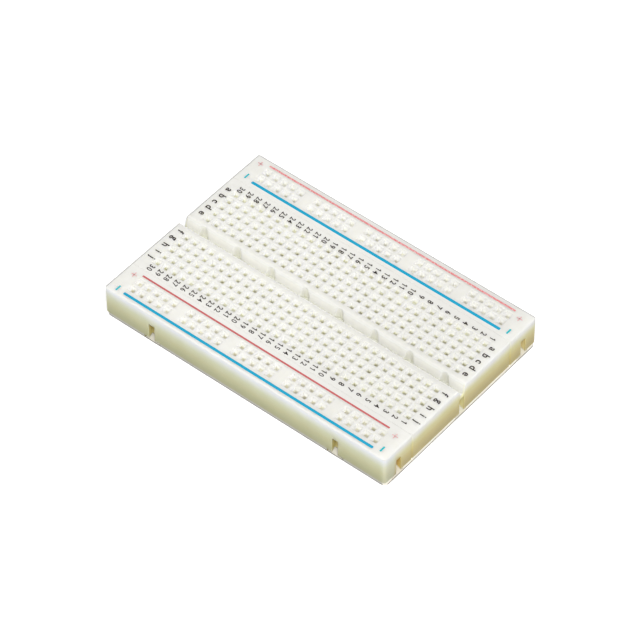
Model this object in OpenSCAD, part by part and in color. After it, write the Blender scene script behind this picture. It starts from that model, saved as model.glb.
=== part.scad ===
// Half-size solderless breadboard: a terminal strip between two power rails.
// The origin is the centre of the underside, +X runs towards column 1, +Y towards row a
// and +Z up. Every length is in millimetres.

/* [Grid] */
// Distance between neighbouring contact holes
pitch = 2.54; // [2.5:0.01:2.54]
// Number of numbered columns on the terminal strip
columns = 30; // [12:6:48]

/* [Housings] */
// Width of the terminal strip
strip_w = 35.7; // [35.4:0.1:37]
// Width of one power rail
rail_w = 9.7; // [9.6:0.1:11]
// Height of the plastic housings
housing_h = 8; // [7.8:0.1:9]
// Plastic beyond the outermost column cell at each end
end_margin = 3.1; // [2.8:0.1:5]
// Gap between neighbouring housings
seam = 0.05; // [0.04:0.01:0.1]
// Radius of the board's four upright corners
outer_corner_r = 0.8; // [0.5:0.1:1.2]
// Radius of the upright corners beside a seam
seam_corner_r = 0.35; // [0.2:0.05:0.5]
// Radius along the board's outer top edges
outer_edge_r = 0.4; // [0.2:0.05:0.6]
// Radius along the top edges beside a seam
seam_edge_r = 0.08; // [0.06:0.02:0.2]

/* [Contact holes] */
// Width of a hole's square mouth at the top face
mouth_w = 1.85; // [1.6:0.05:2]
// Width of the square throat below the funnel
throat_w = 1.15; // [1:0.05:1.2]
// Depth of the funnel
funnel_depth = 0.9; // [0.6:0.1:1.1]
// Thickness of plastic over the contact cavities
roof_t = 1.6; // [1.4:0.1:1.9]
// Width of a contact cavity
cavity_w = 1.94; // [1.8:0.02:2]

/* [Centre channel] */
// Width of the channel just below its rounded shoulders
channel_w = 2.2; // [1.8:0.1:2.4]
// Width of the channel floor
channel_floor_w = 1.3; // [1:0.1:1.6]
// Depth of the channel floor below the top face
channel_depth = 2.9; // [2.4:0.1:3]
// Radius of the rounded shoulders
shoulder_r = 0.8; // [0.5:0.1:0.9]
// Radius of the round pockets along the channel
pocket_r = 1.5; // [1.3:0.1:1.6]
// Depth of the round pockets below the top face
pocket_depth = 3.4; // [3.2:0.1:3.5]

/* [Dovetail joints] */
// Width of a slot at the face of the housing
slot_mouth_w = 1.7; // [1.4:0.1:1.9]
// Width of a slot at its back
slot_back_w = 2.6; // [2.4:0.1:2.8]
// Depth of a slot into the housing
slot_depth = 1.6; // [1.3:0.1:1.7]
// Height of a slot, which is open at the bottom
slot_h = 4.5; // [3.8:0.1:4.6]
// Play around a tab in its slot
tab_play = 0.1; // [0.06:0.02:0.14]
// Distance from each end of the board to its side slots and tabs
joint_inset = 14.2; // [13:0.1:15]

/* [Spring contacts] */
// Thickness of the contact sheet
sheet_t = 0.2; // [0.15:0.05:0.25]
// Height of the contact leaves
clip_h = 5.9; // [5:0.1:6]
// Width of one leaf along the row
leaf_w = 1.8; // [1.4:0.1:2]
// Gap between two leaves where they pinch a wire
pinch_gap = 0.12; // [0.1:0.02:0.3]

/* [Foam and liner] */
// Thickness of the adhesive foam pads
foam_t = 0.8; // [0.6:0.1:1.2]
// Thickness of the release liner
liner_t = 0.15; // [0.1:0.05:0.2]
// Width of the foam notch below each slot
notch_w = 4.3; // [3.6:0.1:5]
// Depth of the foam notch
notch_depth = 2; // [1.9:0.1:2.2]

/* [Hidden] */
$fn = 32;
over = 0.2;                      // how far a cutter runs past the face that it opens
rows_per_side = 5;
group_holes = 5;                 // contact holes in one group of a power rail
length = columns * pitch + 2 * end_margin;
first_row = 1.5 * pitch;         // row e and row f lie this far from the middle
floor_z = liner_t + foam_t;      // underside of the plastic
top_z = floor_z + housing_h;
rail_y = strip_w / 2 + seam + rail_w / 2;
joint_x = length / 2 - joint_inset;
groups = floor(columns / (group_holes + 1));
rail_steps = groups * (group_holes + 1) - 2;
foam_inset = 0.05;               // foam and liner stop this far inside the housings' sides
foam_corner_r = 1.4;             // at the board's four corners
foam_seam_r = 0.3;               // beside a seam
pocket_every = 4;                // columns from one channel pocket to the next
clip_half_w = 0.78;              // half the widest width of a contact clip
leaf_lip = 0.9;                  // height of the flared lip above the pinch

column_x = [for (c = [1:columns]) ((columns + 1) / 2 - c) * pitch];
row_y = [for (r = [0:rows_per_side - 1]) first_row + r * pitch];
rail_x = [for (g = [0:groups - 1], h = [0:group_holes - 1])
    (g * (group_holes + 1) + h - rail_steps / 2) * pitch];
rail_rows = [-pitch / 2, pitch / 2];
pockets = floor((columns - 1) / pocket_every) + 1;
pocket_x = [for (p = [0:pockets - 1]) (p - (pockets - 1) / 2) * pocket_every * pitch];

function two_digits(n) = str(n < 10 ? "0" : "", n);
function column_node(n) = str("contact_column_", two_digits(n));

// Stands a flat outline up in the XZ plane and extrudes it along Y, centred on y = 0.
module extrude_along_y(len) {
    translate([0, len / 2, 0]) rotate([90, 0, 0]) linear_extrude(len) children();
}

// Stands a flat outline up in the YZ plane and extrudes it along X, centred on x = 0.
module extrude_along_x(len) {
    translate([-len / 2, 0, 0]) rotate([90, 0, 90]) linear_extrude(len) children();
}

// What has to be cut from a square corner at [0, 0], open to +X and +Y, to round it.
module corner_cut(r) {
    translate([-r, -r]) difference() {
        square(r + over);
        circle(r);
    }
}

// Rectangle, centred, with a radius for each corner, anticlockwise from the lower left.
module soft_rectangle(l, w, radii) {
    ends = [[-1, -1], [1, -1], [1, 1], [-1, 1]];
    difference() {
        square([l, w], center = true);
        for (i = [0:3]) if (radii[i] > 0)
            translate([ends[i][0] * l / 2, ends[i][1] * w / 2])
                mirror([ends[i][0] < 0 ? 1 : 0, 0]) mirror([0, ends[i][1] < 0 ? 1 : 0])
                    corner_cut(radii[i]);
    }
}

// Solid block of one housing. outer says whether its near and its far side is an outside.
module housing_block(w, outer) {
    corners = [for (o = outer) o ? outer_corner_r : seam_corner_r];
    edges = [for (o = outer) o ? outer_edge_r : seam_edge_r];
    translate([0, 0, floor_z + housing_h / 2]) intersection() {
        linear_extrude(housing_h, center = true)
            soft_rectangle(length, w, [corners[0], corners[0], corners[1], corners[1]]);
        extrude_along_y(w + 2)
            soft_rectangle(length, housing_h, [0, 0, outer_edge_r, outer_edge_r]);
        extrude_along_x(length + 2)
            soft_rectangle(w, housing_h, [0, 0, edges[1], edges[0]]);
    }
}

// Side view of one funnel and its throat, from above the top face to inside the cavity.
module funnel_outline() {
    widen = (mouth_w - throat_w) / 2 / funnel_depth * over;
    polygon([
        [-mouth_w / 2 - widen, top_z + over],
        [-throat_w / 2, top_z - funnel_depth],
        [-throat_w / 2, top_z - roof_t - over],
        [throat_w / 2, top_z - roof_t - over],
        [throat_w / 2, top_z - funnel_depth],
        [mouth_w / 2 + widen, top_z + over]
    ]);
}

// Square funnels wherever a line at x and a line at y cross.
module funnels(xs, ys) {
    middle = (ys[0] + ys[len(ys) - 1]) / 2;
    span = abs(ys[len(ys) - 1] - ys[0]) + 2 * pitch;
    intersection() {
        for (x = xs) translate([x, middle, 0]) extrude_along_y(span) funnel_outline();
        for (y = ys) translate([0, y, 0]) extrude_along_x(length) funnel_outline();
    }
}

// Contact cavity, open at the bottom, centred on a point.
module cavity(x, y, l, w) {
    depth = housing_h - roof_t;
    translate([x - l / 2, y - w / 2, floor_z - over]) cube([l, w, depth + over]);
}

// Plan of a dovetail that opens at y = 0 and runs into +Y.
module dovetail_plan(mouth, back, depth, past) {
    polygon([
        [-mouth / 2, -past], [mouth / 2, -past], [mouth / 2, 0],
        [back / 2, depth], [-back / 2, depth], [-mouth / 2, 0]
    ]);
}

module dovetail_slot() {
    translate([0, 0, floor_z - over])
        linear_extrude(slot_h + over) dovetail_plan(slot_mouth_w, slot_back_w, slot_depth, over);
}

// Tab that slides up into a neighbour's slot.
module dovetail_tab() {
    narrow = 2 * tab_play;
    translate([0, 0, floor_z])
        linear_extrude(slot_h - narrow)
            translate([0, seam])
                dovetail_plan(slot_mouth_w - narrow, slot_back_w - narrow,
                    slot_depth - tab_play, seam + over);
}

// Slots of one housing: two on its near side and one at the column 1 end.
module slots(w) {
    for (x = [-joint_x, joint_x]) translate([x, -w / 2, 0]) dovetail_slot();
    translate([length / 2, 0, 0]) rotate([0, 0, 90]) dovetail_slot();
}

// Tabs of one housing: two on its far side and one at the last column's end.
module tabs(w) {
    for (x = [-joint_x, joint_x]) translate([x, w / 2, 0]) dovetail_tab();
    translate([-length / 2, 0, 0]) rotate([0, 0, 90]) dovetail_tab();
}

// Cross-section of the centre channel, with convex shoulders and sloping walls.
module channel_outline() {
    top_w = channel_w + 2 * shoulder_r;
    difference() {
        translate([-top_w / 2, -shoulder_r]) square([top_w, shoulder_r + over]);
        for (side = [-1, 1])
            translate([side * (channel_w / 2 + shoulder_r), -shoulder_r]) circle(shoulder_r);
    }
    polygon([
        [-channel_w / 2, -shoulder_r], [-channel_floor_w / 2, -channel_depth],
        [channel_floor_w / 2, -channel_depth], [channel_w / 2, -shoulder_r]
    ]);
}

module centre_channel() {
    translate([0, 0, top_z]) {
        extrude_along_x(length + 2) channel_outline();
        for (x = pocket_x)
            translate([x, 0, -pocket_depth]) cylinder(h = pocket_depth + over, r = pocket_r);
    }
}

module terminal_strip() {
    cavity_l = (rows_per_side - 1) * pitch + cavity_w;
    color("whitesmoke") {
        difference() {
            housing_block(strip_w, [false, false]);
            for (side = [-1, 1]) {
                funnels(column_x, side * row_y);
                for (x = column_x) cavity(x, side * row_y[2], cavity_w, cavity_l);
            }
            centre_channel();
            slots(strip_w);
        }
        tabs(strip_w);
    }
}

// Power rail. outer says whether its near and its far side is an outside of the board.
module power_rail(outer) {
    cavity_l = rail_steps * pitch + cavity_w;
    color("whitesmoke") {
        difference() {
            housing_block(rail_w, outer);
            funnels(rail_x, rail_rows);
            for (y = rail_rows) cavity(0, y, cavity_l, cavity_w);
            slots(rail_w);
        }
        tabs(rail_w);
    }
}

module near_power_rail() {
    translate([0, -rail_y, 0]) power_rail([true, false]);
}

module far_power_rail() {
    translate([0, rail_y, 0]) power_rail([false, true]);
}

// Foam pad under one housing, cut back below each of its slots. outer says whether its near
// and its far side is an outside of the board.
module foam_pad(w, outer) {
    corners = [for (i = [0, 0, 1, 1]) outer[i] ? foam_corner_r : foam_seam_r];
    color("gainsboro") translate([0, 0, liner_t]) linear_extrude(foam_t) difference() {
        soft_rectangle(length - 2 * foam_inset, w - 2 * foam_inset, corners);
        for (x = [-joint_x, joint_x])
            translate([x - notch_w / 2, -w / 2 - over]) square([notch_w, notch_depth + over]);
        translate([length / 2 - notch_depth, -notch_w / 2]) square([notch_depth + over, notch_w]);
    }
}

module near_foam_pad() {
    translate([0, -rail_y, 0]) foam_pad(rail_w, [true, false]);
}

module terminal_foam_pad() {
    foam_pad(strip_w, [false, false]);
}

module far_foam_pad() {
    translate([0, rail_y, 0]) foam_pad(rail_w, [false, true]);
}

// Thin sheet under all three foam pads.
module release_liner() {
    corners = [for (i = [0:3]) foam_corner_r];
    w = 2 * rail_y + rail_w - 2 * foam_inset;
    color("ivory") linear_extrude(liner_t) soft_rectangle(length - 2 * foam_inset, w, corners);
}

// The strip outline of thickness t that follows a path.
function heading(path, i) =
    let (a = path[max(i - 1, 0)], b = path[min(i + 1, len(path) - 1)]) (b - a) / norm(b - a);
function offset_side(path, d) =
    [for (i = [0:len(path) - 1]) let (h = heading(path, i)) path[i] + d * [-h[1], h[0]]];
function reversed(list) = [for (i = [len(list) - 1:-1:0]) list[i]];
function strip_outline(path, t) =
    concat(offset_side(path, t / 2), reversed(offset_side(path, -t / 2)));

// Cross-section of a contact: two leaves that rise from the base, pinch and flare.
module leaf_pair_outline() {
    wide = clip_half_w - sheet_t / 2;
    pinch = (pinch_gap + sheet_t) / 2;
    half_path = [
        [wide * 0.6, sheet_t / 2], [wide, sheet_t * 1.7], [wide, clip_h * 0.3],
        [pinch, clip_h - leaf_lip], [wide * 0.72, clip_h - sheet_t / 4]
    ];
    mirrored_path = [for (p = reversed(half_path)) [-p[0], p[1]]];
    polygon(strip_outline(concat(mirrored_path, half_path), sheet_t));
}

// Contact clip along X: a flat base with one pair of leaves at each position.
module contact_clip(positions) {
    start = min(positions) - leaf_w / 2;
    base_l = max(positions) + leaf_w / 2 - start;
    base_w = clip_half_w;
    translate([0, 0, floor_z]) {
        translate([start, -base_w / 2, 0]) cube([base_l, base_w, sheet_t]);
        for (x = positions) translate([x, 0, 0]) extrude_along_x(leaf_w) leaf_pair_outline();
    }
}

// The two separate five-hole contacts of one numbered column.
module contact_column(x) {
    color("silver") for (side = [-1, 1])
        translate([x, 0, 0]) rotate([0, 0, 90]) contact_clip(side * row_y);
}

module bus_bar(y) {
    color("silver") translate([0, y, 0]) contact_clip(rail_x);
}

near_power_rail();
terminal_strip();
far_power_rail();
near_foam_pad();
terminal_foam_pad();
far_foam_pad();
release_liner();
bus_bar(-rail_y + pitch / 2);  // near_positive_bus
bus_bar(-rail_y - pitch / 2);  // near_negative_bus
bus_bar(rail_y + pitch / 2);  // far_positive_bus
bus_bar(rail_y - pitch / 2);  // far_negative_bus
for (n = [1:columns])
    contact_column(column_x[n - 1]);
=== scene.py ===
"""Looks of a half-size solderless breadboard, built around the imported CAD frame. Lengths are in
millimetres in the part's own frame until MM turns them into metres. Colours are 8-bit sRGB."""

import math

import bmesh
import bpy
from mathutils import Matrix, Vector, noise


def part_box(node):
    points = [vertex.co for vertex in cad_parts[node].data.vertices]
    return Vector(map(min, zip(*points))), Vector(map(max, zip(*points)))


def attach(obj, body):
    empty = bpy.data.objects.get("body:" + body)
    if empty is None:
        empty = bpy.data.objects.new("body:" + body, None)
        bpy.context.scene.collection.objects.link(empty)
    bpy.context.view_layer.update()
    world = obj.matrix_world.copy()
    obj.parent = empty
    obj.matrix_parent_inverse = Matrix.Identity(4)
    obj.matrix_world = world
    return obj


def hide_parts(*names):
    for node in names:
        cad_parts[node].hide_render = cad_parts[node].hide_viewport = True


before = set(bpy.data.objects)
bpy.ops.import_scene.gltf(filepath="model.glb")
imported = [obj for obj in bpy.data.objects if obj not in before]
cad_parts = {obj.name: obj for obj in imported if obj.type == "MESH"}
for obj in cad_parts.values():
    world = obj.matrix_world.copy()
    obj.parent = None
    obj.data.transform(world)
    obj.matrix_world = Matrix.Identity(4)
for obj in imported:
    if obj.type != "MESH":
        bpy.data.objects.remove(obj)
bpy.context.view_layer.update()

MM = 0.001

# ---------------------------------------------------------------- sizes shared with the CAD

PITCH = 2.54
COLUMNS = 30
STRIP_HALF_W = 17.85
RAIL_Y, RAIL_HALF_W = 22.75, 4.85
HOUSINGS = {  # node: body, foam pad, centre y and half width of its plastic
    "near_power_rail": ("near_rail", "near_foam_pad", -RAIL_Y, RAIL_HALF_W),
    "terminal_strip": ("terminal", "terminal_foam_pad", 0.0, STRIP_HALF_W),
    "far_power_rail": ("far_rail", "far_foam_pad", RAIL_Y, RAIL_HALF_W),
}
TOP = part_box("terminal_strip")[1].z / MM
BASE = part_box("terminal_strip")[0].z / MM
END = 41.2  # x of the plastic's column 1 end, and of its column 30 end with a minus sign
FAR_SIDE = RAIL_Y + RAIL_HALF_W
SEAM_Y = (STRIP_HALF_W + RAIL_Y - RAIL_HALF_W) / 2  # middle of the gap beside a rail
HOLE_DEPTH = 2.4  # over which a contact hole's tints run
POCKET_DEPTH = 3.4  # of the centre channel's round pockets
JOINT_X = 27.0  # x of the slots on the long sides, on both sides of the middle
NOTCH_W, NOTCH_DEPTH, NOTCH_R = 4.3, 2.0, 0.15  # in the foam, below a slot
OUTER_R, SEAM_R = 1.4, 0.3  # corners of the pads and the liner, on the outside and beside a seam

# ---------------------------------------------------------------- colours

WHITE = (239, 238, 233)
# Painted shade along the top's edge at the column 30 end and on the far side
RIM_SHADE = (176, 174, 168)
# Painted shade inside the dovetail slots
SLOT_PAINTED_SHADE = (214, 202, 138)
END_SLOT_PAINTED_SHADE = {  # node: painted shade inside its slot at the column 1 end, set for each housing
    "near_power_rail": (230, 206, 132),
    "terminal_strip": (246, 238, 190),
    "far_power_rail": (244, 230, 178),
}
# Painted shade on the outer walls, darker and warmer lower down, from 0 at the plastic's underside
# to 1 at its top
SIDE_PAINTED_SHADE = [
    (0.0, (187, 186, 142)),
    (0.13, (191, 191, 144)),
    (0.38, (211, 209, 163)),
    (0.63, (226, 228, 193)),
    (0.90, (246, 250, 252)),
]
# The column 1 end's painted shade, yellower than the sides'
END_PAINTED_SHADE = [
    (0.0, (193, 177, 116)),
    (0.13, (198, 180, 116)),
    (0.38, (218, 202, 132)),
    (0.63, (232, 225, 166)),
    (0.88, (255, 254, 245)),
]
# Painted light and shade on the funnels' walls, set by the way they face, from 0 at the top face to
# 1 at HOLE_DEPTH. The throat's and the cavity's colours follow.
FUNNEL_NEAR_PAINTED_LIGHT = [
    (0.0, (240, 239, 234)),
    (0.02, (236, 235, 231)),
    (0.12, (238, 237, 233)),
    (0.3, (249, 248, 244)),
    (0.42, (252, 251, 245)),
]
FUNNEL_END_PAINTED_LIGHT = [
    (0.0, (240, 239, 234)),
    (0.02, (242, 241, 237)),
    (0.14, (246, 245, 241)),
    (0.28, (255, 254, 251)),
    (0.36, (255, 254, 251)),
]
HOLE_PAINTED_LIGHT = {  # node: painted light below the funnels and in the contact cavities, lightened against the shade in the holes, and the colour of their painted glow
    "near_power_rail": ((246, 243, 224), (244, 238, 212), (150, 153, 157)),
    "terminal_strip": ((243, 241, 216), (240, 234, 202), (132, 138, 140)),
    "far_power_rail": ((250, 248, 240), (248, 245, 230), (164, 167, 168)),
}
# Painted glow on the funnel walls that face the near side
THIN_WALL_PAINTED_GLOW = (82, 81, 74)
# Painted light and shade in the centre channel, from 0 at the top face to 1 at POCKET_DEPTH
CHANNEL_FAR_PAINTED_SHADE = [
    (0.0, (235, 234, 229)),
    (0.06, (226, 226, 221)),
    (0.13, (234, 234, 230)),
    (0.27, (241, 240, 235)),
    (0.38, (238, 237, 232)),
    (0.63, (229, 228, 222)),
    (1.0, (224, 224, 212)),
]
CHANNEL_NEAR_PAINTED_LIGHT = [
    (0.0, (235, 234, 229)),
    (0.02, (246, 245, 241)),
    (0.06, (255, 255, 253)),
]
POCKET_PAINTED_SHADE = [
    (0.0, (236, 235, 231)),
    (0.3, (239, 238, 231)),
    (0.47, (233, 232, 224)),
    (0.8, (231, 230, 219)),
    (1.0, (226, 226, 212)),
]
POCKET_TURNED_PAINTED_LIGHT = (248, 247, 238)  # painted light on the pockets' walls that face column 30, away from the key light
EVENING = (248, 248, 248)  # multiplies the top where the key light is strongest

# ---------------------------------------------------------------- materials


def srgb(r, g, b):
    """Linear colour, with alpha, of an 8-bit sRGB one."""

    def linear(v):
        v /= 255
        return v / 12.92 if v <= 0.04045 else ((v + 0.055) / 1.055) ** 2.4

    return (linear(r), linear(g), linear(b), 1.0)


class Shader:
    """A material's node tree, with short calls for what every material here needs."""

    def __init__(self, name):
        self.material = bpy.data.materials.new(name)
        self.material.use_nodes = True
        self.tree = self.material.node_tree
        self.surface = self.tree.nodes["Principled BSDF"]
        coordinates = self.add("ShaderNodeTexCoord").outputs
        self.facing = coordinates["Normal"]
        in_mm = self.add("ShaderNodeVectorMath")
        in_mm.operation = "SCALE"
        self.put(in_mm.inputs["Vector"], coordinates["Object"])
        in_mm.inputs["Scale"].default_value = 1 / MM
        self.place = in_mm.outputs["Vector"]

    def add(self, kind, **inputs):
        node = self.tree.nodes.new(kind)
        for key, value in inputs.items():
            self.put(node.inputs[key.replace("_", " ")], value)
        return node

    def put(self, socket, value):
        if isinstance(value, bpy.types.NodeSocket):
            self.tree.links.new(value, socket)
        else:
            socket.default_value = value

    def put_colour(self, socket, value):
        """Links a socket or sets an 8-bit sRGB colour."""
        self.put(socket, value if isinstance(value, bpy.types.NodeSocket) else srgb(*value))

    def split(self, vector):
        return self.add("ShaderNodeSeparateXYZ", Vector=vector).outputs

    def math(self, operation, *values):
        node = self.add("ShaderNodeMath")
        node.operation = operation
        for socket, value in zip(node.inputs, values):
            self.put(socket, value)
        return node.outputs[0]

    def distance(self, value, centre):
        return self.math("ABSOLUTE", self.math("SUBTRACT", value, centre))

    def both(self, first, *others):
        """Product of masks, which is 1 only where all of them are."""
        for other in others:
            first = self.math("MULTIPLY", first, other)
        return first

    def varied(self, value, texture, amount):
        """The value plus a texture times the amount."""
        return self.math("ADD", value, self.math("MULTIPLY", texture, amount))

    def smooth(self, value, low, high):
        """Smoothly 0 to 1 as value goes from low to high, or 1 to 0 where low is the greater."""
        node = self.add("ShaderNodeMapRange")
        node.interpolation_type = "SMOOTHSTEP"
        flip = low > high
        ends = (high, low, 1.0, 0.0) if flip else (low, high, 0.0, 1.0)
        for index, number in zip((1, 2, 3, 4), ends):
            node.inputs[index].default_value = number
        self.put(node.inputs[0], value)
        return node.outputs[0]

    def ramp(self, value, *stops):
        """Colour ramp of (place, colour) stops."""
        node = self.add("ShaderNodeValToRGB")
        elements = node.color_ramp.elements
        while len(elements) < len(stops):
            elements.new(0.5)
        for element, (place, colour) in zip(elements, stops):
            element.position, element.color = place, srgb(*colour)
        self.put(node.inputs[0], value)
        return node.outputs["Color"]

    def mix(self, share, first, second, blend="MIX"):
        node = self.add("ShaderNodeMix")
        node.data_type, node.blend_type = "RGBA", blend
        self.put(node.inputs[0], share)
        self.put_colour(node.inputs[6], first)
        self.put_colour(node.inputs[7], second)
        return node.outputs[2]

    def noise(self, size, detail=3.0, roughness=0.55, stretch=None):
        """Noise, about 0.5 on average, whose features are about size across."""
        place = self.place
        if stretch:
            mapping = self.add("ShaderNodeMapping", Vector=place)
            mapping.inputs["Scale"].default_value = stretch
            place = mapping.outputs[0]
        node = self.add("ShaderNodeTexNoise", Vector=place)
        node.inputs["Scale"].default_value = 1 / size
        node.inputs["Detail"].default_value = detail
        node.inputs["Roughness"].default_value = roughness
        return node.outputs[0]

    def cells(self, size):
        """Distance from the middle of the nearest of many cells, which are about size across."""
        node = self.add("ShaderNodeTexVoronoi", Vector=self.place)
        node.inputs["Scale"].default_value = 1 / size
        return node.outputs["Distance"]

    def bump(self, height, depth, strength=1.0, normal=None):
        node = self.add("ShaderNodeBump", Height=height)
        node.inputs["Strength"].default_value = strength
        node.inputs["Distance"].default_value = depth * MM
        if normal is not None:
            self.put(node.inputs["Normal"], normal)
        return node.outputs[0]

    def emit(self, colour):
        self.put_colour(self.surface.inputs["Emission Color"], colour)

    def finish(self, colour, roughness, normal, **constants):
        self.put(self.surface.inputs["Base Color"], colour)
        self.put(self.surface.inputs["Roughness"], roughness)
        self.put(self.surface.inputs["Normal"], normal)
        for key, value in constants.items():
            self.surface.inputs[key.replace("_", " ")].default_value = value
        return self.material


class Plastic(Shader):
    """Moulded ABS of one housing. Each method below colours or masks one region of it."""

    def __init__(self, node):
        super().__init__(node + "_abs")
        self.node = node
        _, _, centre_y, self.half_w = HOUSINGS[node]
        self.x, self.y, self.z = self.split(self.place)
        self.depth = self.math("SUBTRACT", TOP, self.z)
        self.along = self.math("ABSOLUTE", self.x)
        self.across = self.distance(self.y, centre_y)
        self.from_seam = self.distance(self.math("ABSOLUTE", self.y), SEAM_Y)
        self.facing_x, self.facing_y, _ = self.split(self.facing)

    def within(self, margin, blur):
        """1 further than margin + blur inside the sides and ends, 0 nearer than margin."""
        return self.both(
            self.smooth(self.across, self.half_w - margin, self.half_w - margin - blur),
            self.smooth(self.along, END - margin, END - margin - blur),
        )

    def outer_walls(self):
        """Painted shade, darker and warmer down the sides and yellower on the column 1 end, with
        white kept in the upper part of the seams.
        """
        height = self.math("DIVIDE", self.math("SUBTRACT", self.z, BASE), TOP - BASE)
        cloud = self.math("SUBTRACT", self.noise(7, 4), 0.5)
        height = self.varied(height, cloud, 0.07)
        side = self.ramp(height, *SIDE_PAINTED_SHADE)
        end = self.ramp(height, *END_PAINTED_SHADE)
        near_corner = self.smooth(self.y, -23.4, -24.6)
        end = self.mix(near_corner, end, self.mix(0.2, side, WHITE))
        walls = self.mix(self.smooth(self.x, END - 1.6, END - 0.2), side, end)
        seam = self.both(
            self.smooth(self.from_seam, 0.4, 0.2),
            self.smooth(self.along, END - 0.1, END - 0.5),
            self.smooth(self.depth, 3.5, 1.5),
        )
        return self.mix(seam, walls, WHITE)

    def slots(self):
        """Painted shade inside the dovetail slots, set for each housing at the column 1 end."""
        return self.mix(self.smooth(self.x, 34, 38), SLOT_PAINTED_SHADE, END_SLOT_PAINTED_SHADE[self.node])

    def rim(self):
        """Mask of painted shade on the top's edge at the column 30 end and on the far side, edges
        that face away from the key light.
        """
        edges = self.math(
            "MAXIMUM",
            self.smooth(self.x, 0.55 - END, 0.2 - END),
            self.smooth(self.y, FAR_SIDE - 0.55, FAR_SIDE - 0.2),
        )
        return self.both(edges, self.smooth(self.depth, 0.5, 0.25))

    def holes(self):
        """Funnels, throats and contact cavities, with painted light and shade by depth, and another
        set of it on walls that face column 1.
        """
        throat, cavity, _ = HOLE_PAINTED_LIGHT[self.node]
        share = self.math("DIVIDE", self.depth, HOLE_DEPTH)
        near = self.ramp(share, *FUNNEL_NEAR_PAINTED_LIGHT, (0.5, throat), (1.0, cavity))
        end = self.ramp(share, *FUNNEL_END_PAINTED_LIGHT, (0.42, throat), (1.0, cavity))
        return self.mix(self.smooth(self.facing_x, 0.3, 0.8), near, end)

    def cavity_glow(self, core):
        """Mask of painted glow in patches in the contact cavities, standing in for light that the
        plastic lets through.
        """
        patches = self.smooth(self.noise(4, 2, 0.7), 0.3, 0.7)
        return self.both(core, self.smooth(self.depth, 1.3, 1.8), patches)

    def funnel_glow(self, core):
        """Mask of painted glow on the funnel walls that face the near side, standing in for light
        let through the thin walls.
        """
        return self.both(
            core,
            self.smooth(self.facing_y, -0.3, -0.8),
            self.smooth(self.depth, 0.4, 0.9),
            self.smooth(self.depth, 1.6, 1.2),
        )

    def shoulder_glow(self, in_channel):
        """Mask of painted glow on the centre channel's near shoulder, standing in for light let
        through it.
        """
        return self.both(
            in_channel,
            self.smooth(self.y, 0.0, -0.5),
            self.smooth(self.depth, 0.005, 0.07),
            self.smooth(self.depth, 1.2, 0.8),
        )

    def channel(self):
        """Painted light and shade on the centre channel's two sides and on the round pockets in its
        far side.
        """
        share = self.math("DIVIDE", self.depth, POCKET_DEPTH)
        near_wall = self.ramp(share, *CHANNEL_NEAR_PAINTED_LIGHT)
        far_wall = self.ramp(share, *CHANNEL_FAR_PAINTED_SHADE)
        walls = self.mix(self.smooth(self.y, 0.2, 0.8), near_wall, far_wall)
        turned = self.smooth(self.facing_x, -0.2, -0.9)
        pocket_wall = self.mix(turned, self.ramp(share, *POCKET_PAINTED_SHADE), POCKET_TURNED_PAINTED_LIGHT)
        pocket = self.both(self.smooth(self.y, 1.12, 1.35), self.smooth(self.depth, 0.15, 0.6))
        return self.mix(pocket, walls, pocket_wall)

    def channel_reach(self):
        """Mask of the centre channel down to its floor, short of its two open ends."""
        return self.both(
            self.smooth(self.depth, 3.9, 3.5), self.smooth(self.along, END - 0.05, END - 0.6)
        )

    def key_lit(self, top):
        """Mask of the top, growing towards column 1, where the key light is strongest."""
        return self.both(
            self.math("MAXIMUM", top, self.within(1.4, 0.5)),
            self.smooth(self.x, -16, 32),
            self.smooth(self.x, 40, 37),
        )


def housing_plastic(node):
    """Moulded ABS, white on top, with painted shade down its sides and in its slots, and painted
    light and glow in its holes.
    """
    s = Plastic(node)
    top = s.smooth(s.depth, 0.45, 0.1)
    core = s.within(1.9, 0.4)
    colour = s.mix(s.within(0.1, 0.4), s.outer_walls(), s.slots())
    colour = s.mix(top, colour, WHITE)
    colour = s.mix(s.rim(), colour, RIM_SHADE)
    colour = s.mix(core, colour, s.holes())
    deep, thin = s.cavity_glow(core), s.funnel_glow(core)
    if node == "terminal_strip":
        in_channel = s.smooth(s.across, 3.1, 2.5)
        outside = s.math("SUBTRACT", 1.0, in_channel)
        deep = s.both(deep, outside)
        thin = s.math("MAXIMUM", s.both(thin, outside), s.shoulder_glow(in_channel))
        colour = s.mix(s.both(in_channel, s.channel_reach()), colour, s.channel())
    colour = s.mix(s.key_lit(top), colour, EVENING, "MULTIPLY")
    tone = s.ramp(s.noise(2.2, 5), (0.3, (250, 250, 248)), (0.7, (255, 255, 255)))
    colour = s.mix(0.8, colour, tone, "MULTIPLY")

    scratches = s.noise(0.5, 2, stretch=(0.08, 1.0, 1.0))
    rough = s.varied(s.varied(0.36, s.noise(1.4, 4), 0.14), scratches, 0.06)
    grain = s.bump(s.noise(0.09, 2), 0.004)
    sink = s.bump(s.noise(6, 2), 0.02, normal=grain)
    # Painted glow in the holes and on the channel's near shoulder
    s.emit(s.mix(deep, s.mix(thin, (0, 0, 0), THIN_WALL_PAINTED_GLOW), HOLE_PAINTED_LIGHT[node][2]))
    s.put(s.surface.inputs["Subsurface Weight"], s.smooth(s.from_seam, 0.8, 2.4))
    s.surface.inputs["Subsurface Radius"].default_value = (0.95, 0.95, 0.88)
    return s.finish(
        colour, rough, sink, IOR=1.53, Subsurface_Scale=1.8 * MM, Emission_Strength=1.0
    )


def nickel():
    """Nickel-plated spring bronze, drawn along its length."""
    s = Shader("contact_nickel")
    colour = s.ramp(s.noise(1.8, 5), (0.35, (226, 221, 200)), (0.65, (242, 238, 222)))
    lines = s.noise(0.06, 2, stretch=(0.05, 1.0, 1.0))
    return s.finish(colour, s.varied(0.46, lines, 0.22), s.bump(lines, 0.003), Metallic=0.45)


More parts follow.
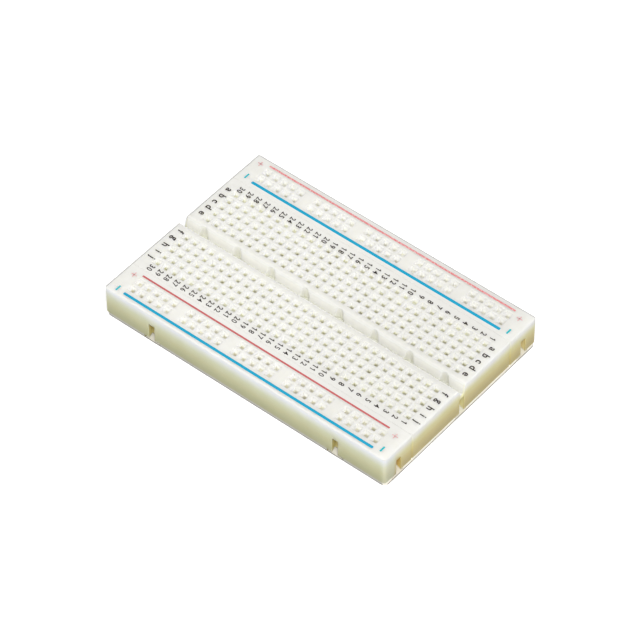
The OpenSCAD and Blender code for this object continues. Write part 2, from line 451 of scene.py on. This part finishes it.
def foam():
    """Closed-cell polyethylene foam, cut through its cells at the edges. Painted shade greys it on
    the near side and darkens the notches there, and a painted glow lightens the rest of it."""
    s = Shader("foam_pad")
    cells = s.cells(0.22)
    x, y, _ = s.split(s.place)
    near_skin = -FAR_SIDE + 0.4
    near_side_shade = s.smooth(y, near_skin, near_skin - 0.3)
    notch_shade = s.both(
        s.smooth(s.distance(s.math("ABSOLUTE", x), JOINT_X), 2.5, 2.3),
        s.smooth(y, near_skin + 2.1, near_skin + 1.8),
    )
    colour = s.ramp(cells, (0.0, (255, 252, 240)), (0.75, (240, 235, 216)))
    colour = s.mix(s.math("MULTIPLY", s.noise(3, 3), 0.5), colour, (246, 243, 230))
    # Painted shade on the near side and in the notches
    colour = s.mix(near_side_shade, colour, (204, 202, 190))
    colour = s.mix(notch_shade, colour, (158, 149, 100))
    # Painted glow over the foam, except where it is shaded
    s.emit(s.mix(s.math("MAXIMUM", near_side_shade, notch_shade), (255, 250, 238), (0, 0, 0)))
    rough = s.varied(0.72, s.noise(0.4), 0.2)
    pores = s.bump(cells, 0.05, 0.7)
    return s.finish(colour, rough, pores, Sheen_Weight=0.15, Emission_Strength=0.24)


def liner_paper(low, high):
    """Siliconised release paper between two corners, with painted shadow greying its cut edge."""
    s = Shader("release_paper")
    x, y, _ = s.split(s.place)
    from_ends = s.math("MINIMUM", s.math("SUBTRACT", high.x, x), s.math("SUBTRACT", x, low.x))
    from_side = s.math("SUBTRACT", high.y, s.math("ABSOLUTE", y))
    edge = s.smooth(s.math("MINIMUM", from_ends, from_side), 0.2, 0.1)
    fibres = s.noise(0.35, 4, stretch=(0.35, 1.0, 1.0))
    colour = s.ramp(fibres, (0.3, (222, 220, 210)), (0.7, (234, 231, 222)))
    # Painted shadow along the cut edge
    colour = s.mix(edge, colour, (112, 110, 105))
    return s.finish(colour, s.varied(0.34, fibres, 0.2), s.bump(fibres, 0.006), Coat_Weight=0.2)


def ink(name, colour, pale, patch_low, patch_high):
    """Pad-printed ink. Where it is thin the plastic shows through."""
    s = Shader(name)
    thin = s.smooth(s.noise(0.45, 5, 0.65), patch_low, patch_high)
    rough = s.varied(0.38, s.noise(0.3), 0.25)
    grain = s.bump(s.noise(0.12), 0.004)
    return s.finish(s.mix(thin, colour, pale), rough, grain, Specular_IOR_Level=0.12)


# ---------------------------------------------------------------- meshes


def mesh_object(name, mesh, material, body):
    piece = bpy.data.objects.new(name, mesh)
    bpy.context.scene.collection.objects.link(piece)
    mesh.materials.clear()
    mesh.materials.append(material)
    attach(piece, body)
    return piece


def rounded(corners, steps=5):
    """The closed outline through (x, y, radius) corners, each replaced by an arc."""
    outline = []
    for i, (x, y, radius) in enumerate(corners):
        here = Vector((x, y))
        back = (Vector(corners[i - 1][:2]) - here).normalized()
        ahead = (Vector(corners[(i + 1) % len(corners)][:2]) - here).normalized()
        half = back.angle(ahead) / 2
        centre = here + (back + ahead).normalized() * (radius / math.sin(half))
        start = here + back * (radius / math.tan(half)) - centre
        turn = start.angle_signed(here + ahead * (radius / math.tan(half)) - centre)
        for k in range(steps + 1):
            spoke = start.copy()
            spoke.rotate(Matrix.Rotation(-turn * k / steps, 2))
            outline.append(centre + spoke)
    return outline


def spaced(outline, step):
    """The outline with points added so that none lie further apart than step."""
    points = []
    for i, a in enumerate(outline):
        b = outline[(i + 1) % len(outline)]
        n = max(1, math.ceil((b - a).length / step))
        points += [a.lerp(b, k / n) for k in range(n)]
    return points


def slab(name, outline, rings):
    """Closed slab round an anticlockwise outline. Each (z, inset, wander) ring is the outline moved
    in by inset and, unevenly, by up to about wander more."""
    bm = bmesh.new()
    count = len(outline)
    loops = []
    for z, inset, wander in rings:
        loop = []
        for i, p in enumerate(outline):
            run = outline[(i + 1) % count] - outline[i - 1]
            out = Vector((run.y, -run.x)).normalized()
            cut = abs(noise.noise(Vector((p.x * 1.3, p.y * 1.3, z * 4)))) * wander
            q = p - out * (inset + cut)
            loop.append(bm.verts.new((q.x * MM, q.y * MM, z * MM)))
        loops.append(loop)
    for low, high in zip(loops, loops[1:]):
        for i in range(count):
            j = (i + 1) % count
            bm.faces.new((low[i], low[j], high[j], high[i]))
    bm.faces.new(reversed(loops[0]))
    bm.faces.new(loops[-1])
    bm.normal_update()
    bmesh.ops.triangulate(bm, faces=[f for f in bm.faces if len(f.verts) > 4])
    for face in bm.faces:
        face.smooth = abs(face.normal.z) < 0.9
    mesh = bpy.data.meshes.new(name)
    bm.to_mesh(mesh)
    bm.free()
    return mesh


def joined(name, meshes):
    """One mesh of several that are already in place, in metres."""
    bm = bmesh.new()
    for mesh in meshes:
        bm.from_mesh(mesh)
        bpy.data.meshes.remove(mesh)
    whole = bpy.data.meshes.new(name)
    bm.to_mesh(whole)
    bm.free()
    return whole


# ---------------------------------------------------------------- CAD nodes, foam and liner

PROUD = 0.22  # how far the release paper stands out past the foam at the column 1 end
PAD_RINGS = [  # share of the pad's thickness, inset, wander: slightly barrelled
    (0.0, 0.05, 0.02),
    (0.12, 0.02, 0.05),
    (0.35, 0.0, 0.08),
    (0.65, 0.0, 0.08),
    (0.88, 0.02, 0.05),
    (1.0, 0.05, 0.02),
]


def dress_cad_nodes():
    metal = nickel()
    for name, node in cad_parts.items():
        node.data.materials.clear()
        node.data.materials.append(housing_plastic(name) if name in HOUSINGS else metal)


def pad_outline(node, centre_y, half_w):
    """Plan of a foam pad: its CAD box less the notches below the dovetail slots."""
    low, high = (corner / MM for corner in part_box(node))
    near_r = OUTER_R if node == "near_foam_pad" else SEAM_R
    far_r = OUTER_R if node == "far_foam_pad" else SEAM_R
    back = centre_y - half_w + NOTCH_DEPTH
    corners = [(low.x, low.y, near_r)]
    for x in (-JOINT_X, JOINT_X):
        for side, first, second in ((-1, low.y, back), (1, back, low.y)):
            corners += [(x + side * NOTCH_W / 2, y, NOTCH_R) for y in (first, second)]
    corners.append((high.x, low.y, near_r))
    for side, first, second in ((-1, high.x, END - NOTCH_DEPTH), (1, END - NOTCH_DEPTH, high.x)):
        corners += [(x, centre_y + side * NOTCH_W / 2, NOTCH_R) for x in (first, second)]
    corners += [(high.x, high.y, far_r), (low.x, high.y, far_r)]
    return spaced(rounded(corners), 0.5)


def add_foam_pads():
    finish = foam()
    for body, pad, centre_y, half_w in HOUSINGS.values():
        z0, z1 = (corner.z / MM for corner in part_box(pad))
        rings = [(z0 + (z1 - z0) * share, inset, wander) for share, inset, wander in PAD_RINGS]
        mesh = slab(pad + "_cut", pad_outline(pad, centre_y, half_w), rings)
        piece = mesh_object(pad + "_cut", mesh, finish, body)
        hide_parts(pad)


def add_liner():
    low, high = (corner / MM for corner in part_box("release_liner"))
    high.x += PROUD
    corners = [(x, low.y, OUTER_R) for x in (low.x, high.x)]
    corners += [(x, high.y, OUTER_R) for x in (high.x, low.x)]
    rings = [(low.z, 0.02, 0.01), (low.z + 0.04, 0, 0.02), (high.z - 0.04, 0, 0.02)]
    rings.append((high.z, 0.02, 0.01))
    mesh = slab("release_paper", spaced(rounded(corners), 0.8), rings)
    liner = mesh_object("release_paper", mesh, liner_paper(low, high), "liner")
    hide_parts("release_liner")


# ---------------------------------------------------------------- printing

INK_BOTTOM, INK_TOP = TOP - 0.004, TOP + 0.012

DIGIT_HEIGHT, DIGIT_STRETCH, DIGIT_BOLD = 1.42, 0.84, 0.03
DIGIT_ADVANCE = 0.62  # from one digit to the next, as a share of the font size
NUMBER_ROWS = [(15.75, 0.3), (-16.4, 0.26)]  # centre y, and shift along x from the holes
NUMBER_SPREAD = 1.0055  # the numbers stand slightly further apart than the columns
LONE_SHIFT = 0.17  # of the one-digit numbers, along both x and y
FLAG_INSET, FLAG_FALL, FLAG_RUN, FLAG_W = 0.1, 0.32, 0.36, 0.2  # the stroke at a 1's head

X_HEIGHT, LETTER_STRETCH, LETTER_BOLD = 1.15, 0.9, 0.04
LETTER_ROWS = dict(
    zip("abcdefghij", (14.0, 11.43, 9.1, 6.78, 4.28, -3.4, -6.03, -8.8, -11.43, -13.7))
)
LETTER_ENDS = [(-39.75, 0.0), (38.6, 0.58)]  # baseline x, and how far the letters sit towards -Y
RISE = {"g": 0.35, "i": 0.1, "j": 0.3}  # shift of a letter's baseline towards +X

PLUS_ARM, PLUS_STROKE = 0.78, 0.26
MINUS_ARM, MINUS_STROKE = 0.85, 0.46
SIGNS = {  # rail: body, centres of its plus signs, centres of its minus signs
    "near": ("near_rail", [(-38.32, -20.46), (38.4, -20.57)], [(-38.42, -25.89), (38.56, -25.26)]),
    "far": ("far_rail", [(-38.76, 25.29), (38.44, 24.75)], [(-38.74, 20.18), (38.87, 20.08)]),
}


def bar(x0, y0, x1, y1, width, wander=0.015):
    """Printed stroke with rounded ends and slightly uneven edges."""
    run = Vector((x1 - x0, y1 - y0))
    across = Vector((-run.y, run.x)).normalized() * width / 2
    a, b = Vector((x0, y0)), Vector((x1, y1))
    corners = [(*p, width * 0.3) for p in (a - across, b - across, b + across, a + across)]
    outline = spaced(rounded(corners, 3), 0.4)
    rings = [(INK_BOTTOM, 0, wander), (INK_TOP - 0.004, 0, wander), (INK_TOP, 0.02, wander)]
    return slab("bar", outline, rings)


def glyph_mesh(text, size, stretch, bold=0.0):
    """Text as a closed mesh, its baseline at y = 0, in millimetres."""
    curve = bpy.data.curves.new("glyph", "FONT")
    curve.body = text
    curve.align_x = "CENTER"
    curve.size = size
    curve.extrude = (INK_TOP - INK_BOTTOM) / 2
    curve.offset = bold
    curve.resolution_u = 4
    piece = bpy.data.objects.new("glyph", curve)
    bpy.context.scene.collection.objects.link(piece)
    bpy.context.view_layer.update()
    graph = bpy.context.evaluated_depsgraph_get()
    mesh = bpy.data.meshes.new_from_object(piece.evaluated_get(graph))
    bpy.data.objects.remove(piece)
    bpy.data.curves.remove(curve)
    mesh.transform(Matrix.Diagonal((stretch, 1, 1, 1)))
    return mesh


def extent(mesh, axis):
    values = [v.co[axis] for v in mesh.vertices]
    return min(values), max(values)


def font_size(sample, height):
    """Font size at which sample is height tall."""
    mesh = glyph_mesh(sample, 1.0, 1.0)
    low, high = extent(mesh, 1)
    bpy.data.meshes.remove(mesh)
    return height / (high - low)


def placed(mesh, baseline_x, centre_y):
    """Turns a glyph so that its top points to +X, and sets it down in metres."""
    low, high = extent(mesh, 0)
    mesh.transform(Matrix.Translation((-(low + high) / 2, 0, 0)))
    mesh.transform(Matrix.Rotation(-math.pi / 2, 4, "Z"))
    middle = (INK_TOP + INK_BOTTOM) / 2
    mesh.transform(Matrix.Translation((baseline_x, centre_y, middle)))
    mesh.transform(Matrix.Scale(MM, 4))
    return mesh


def print_numbers(black):
    """Numbers 1 to 30 on both sides of the terminal strip, each 1 with a stroke at its head."""
    size = font_size("0", DIGIT_HEIGHT)
    step = DIGIT_STRETCH * size * DIGIT_ADVANCE
    numbers = []
    for column in range(1, COLUMNS + 1):
        hole_x = ((COLUMNS + 1) / 2 - column) * PITCH
        digits = str(column)
        lone = LONE_SHIFT if len(digits) == 1 else 0.0
        for centre_y, shift in NUMBER_ROWS:
            baseline = hole_x * NUMBER_SPREAD + shift + lone - DIGIT_HEIGHT / 2
            for i, digit in enumerate(digits):
                y = centre_y + lone - (i - (len(digits) - 1) / 2) * step
                glyph = glyph_mesh(digit, size, DIGIT_STRETCH, DIGIT_BOLD)
                numbers.append(placed(glyph, baseline, y))
                if digit == "1":
                    head = baseline + DIGIT_HEIGHT - FLAG_INSET
                    numbers.append(bar(head, y, head - FLAG_FALL, y + FLAG_RUN, FLAG_W, 0.005))
    mesh_object("column_numbers", joined("column_numbers", numbers), black, "terminal")


def print_letters(black):
    """Row letters a to j at both ends of the terminal strip."""
    size = font_size("x", X_HEIGHT)
    letters = []
    for letter, row in LETTER_ROWS.items():
        for baseline_x, drop in LETTER_ENDS:
            glyph = glyph_mesh(letter, size, LETTER_STRETCH, LETTER_BOLD)
            letters.append(placed(glyph, baseline_x + RISE.get(letter, 0.0), row - drop))
    mesh_object("row_letters", joined("row_letters", letters), black, "terminal")


def print_lines():
    """The red and the blue line of each power rail."""
    blue = ink("ink_blue", (32, 165, 202), (92, 194, 220), 0.6, 0.9)
    red = ink("ink_red", (201, 101, 103), (230, 150, 148), 0.5, 0.85)
    pale_red = ink("ink_red_thin", (229, 128, 132), (244, 206, 204), 0.42, 0.7)
    for name, body, x0, x1, y, width, finish, slot in (
        ("near_red_line", "near_rail", -36.55, 36.0, -19.5, 0.48, red, "ink_red"),
        ("near_blue_line", "near_rail", -36.4, 36.7, -26.28, 0.72, blue, "ink_blue"),
        ("far_blue_line", "far_rail", -36.55, 36.95, 19.36, 0.8, blue, "ink_blue"),
        ("far_red_line", "far_rail", -36.6, 36.3, 26.06, 0.5, pale_red, "ink_red"),
    ):
        mesh_object(name, bar(x0, y, x1, y, width), finish, body)


def print_signs():
    """The plus and minus signs at both ends of each power rail, the minus signs across it."""
    red = ink("ink_red_sign", (231, 170, 171), (243, 214, 211), 0.42, 0.7)
    blue = ink("ink_blue_sign", (44, 186, 198), (120, 208, 214), 0.5, 0.8)
    for rail, (body, pluses, minuses) in SIGNS.items():
        strokes = []
        for x, y in pluses:
            strokes.append(bar(x - PLUS_ARM, y, x + PLUS_ARM, y, PLUS_STROKE, 0.01))
            strokes.append(bar(x, y - PLUS_ARM, x, y + PLUS_ARM, PLUS_STROKE, 0.01))
        name = rail + "_plus_signs"
        mesh_object(name, joined(name, strokes), red, body)
        strokes = [bar(x, y - MINUS_ARM, x, y + MINUS_ARM, MINUS_STROKE) for x, y in minuses]
        name = rail + "_minus_signs"
        mesh_object(name, joined(name, strokes), blue, body)


# ---------------------------------------------------------------- studio

FLOOR_HALF = 3.0  # metres
FLOOR_Z = -0.02 * MM  # just below the liner, so that the two faces don't meet
FLOOR_TONES = [(0.3, (247, 247, 247)), (0.7, (249.3, 249.3, 249.3))]
KEY_AT, KEY_SIZE, KEY_POWER = (0.44, -0.53, 0.98), 0.3, 11.6  # metres, metres, watts
SKY_STRENGTH = 0.42
CAMERA_AT = Vector((369.9, -451.2, 646.05)) * MM
CAMERA_AIM = Vector((3.6, -4.3, 8.95)) * MM
CAMERA_LENS, CAMERA_SENSOR = 213.0, 36.0


def aimed(thing, place, aim):
    """Puts a new light or camera at place, looking at aim."""
    thing.location = place
    thing.rotation_mode = "QUATERNION"
    thing.rotation_quaternion = (Vector(aim) - Vector(place)).to_track_quat("-Z", "Y")
    bpy.context.scene.collection.objects.link(thing)
    return thing


def add_floor():
    """Plain pale floor. It glows a little and throws no light back on the board's sides."""
    s = Shader("studio_floor")
    tone = s.ramp(s.noise(40), *FLOOR_TONES)
    s.emit((255, 255, 255))
    finish = s.finish(tone, 0.9, s.bump(s.noise(1.0), 0.01), Emission_Strength=0.25)
    ways = ((-1, -1), (1, -1), (1, 1), (-1, 1))
    corners = [(x * FLOOR_HALF, y * FLOOR_HALF, FLOOR_Z) for x, y in ways]
    mesh = bpy.data.meshes.new("floor")
    mesh.from_pydata(corners, [], [(0, 1, 2, 3)])
    mesh.materials.append(finish)
    floor = bpy.data.objects.new("floor", mesh)
    bpy.context.scene.collection.objects.link(floor)
    floor.visible_diffuse = False


def add_lights():
    world = bpy.data.worlds.new("studio")
    world.use_nodes = True
    sky = world.node_tree.nodes["Background"].inputs
    sky["Color"].default_value = (1, 1, 1, 1)
    sky["Strength"].default_value = SKY_STRENGTH
    bpy.context.scene.world = world
    key = bpy.data.lights.new("key", "AREA")
    key.energy, key.size = KEY_POWER, KEY_SIZE
    aimed(bpy.data.objects.new("key", key), KEY_AT, (0, 0, 0))


def add_camera():
    """The photograph's viewpoint, fitted to its contact holes and edges."""
    data = bpy.data.cameras.new("camera")
    data.sensor_width, data.lens = CAMERA_SENSOR, CAMERA_LENS
    data.clip_start, data.clip_end = 0.01, 20
    camera = aimed(bpy.data.objects.new("camera", data), CAMERA_AT, CAMERA_AIM)
    bpy.context.scene.camera = camera
    bpy.context.scene.view_settings.view_transform = "Standard"


dress_cad_nodes()
add_foam_pads()
add_liner()
black_ink = ink("ink_black", (58, 51, 49), (132, 124, 116), 0.55, 0.85)
print_numbers(black_ink)
print_letters(black_ink)
print_lines()
print_signs()
add_floor()
add_lights()
add_camera()
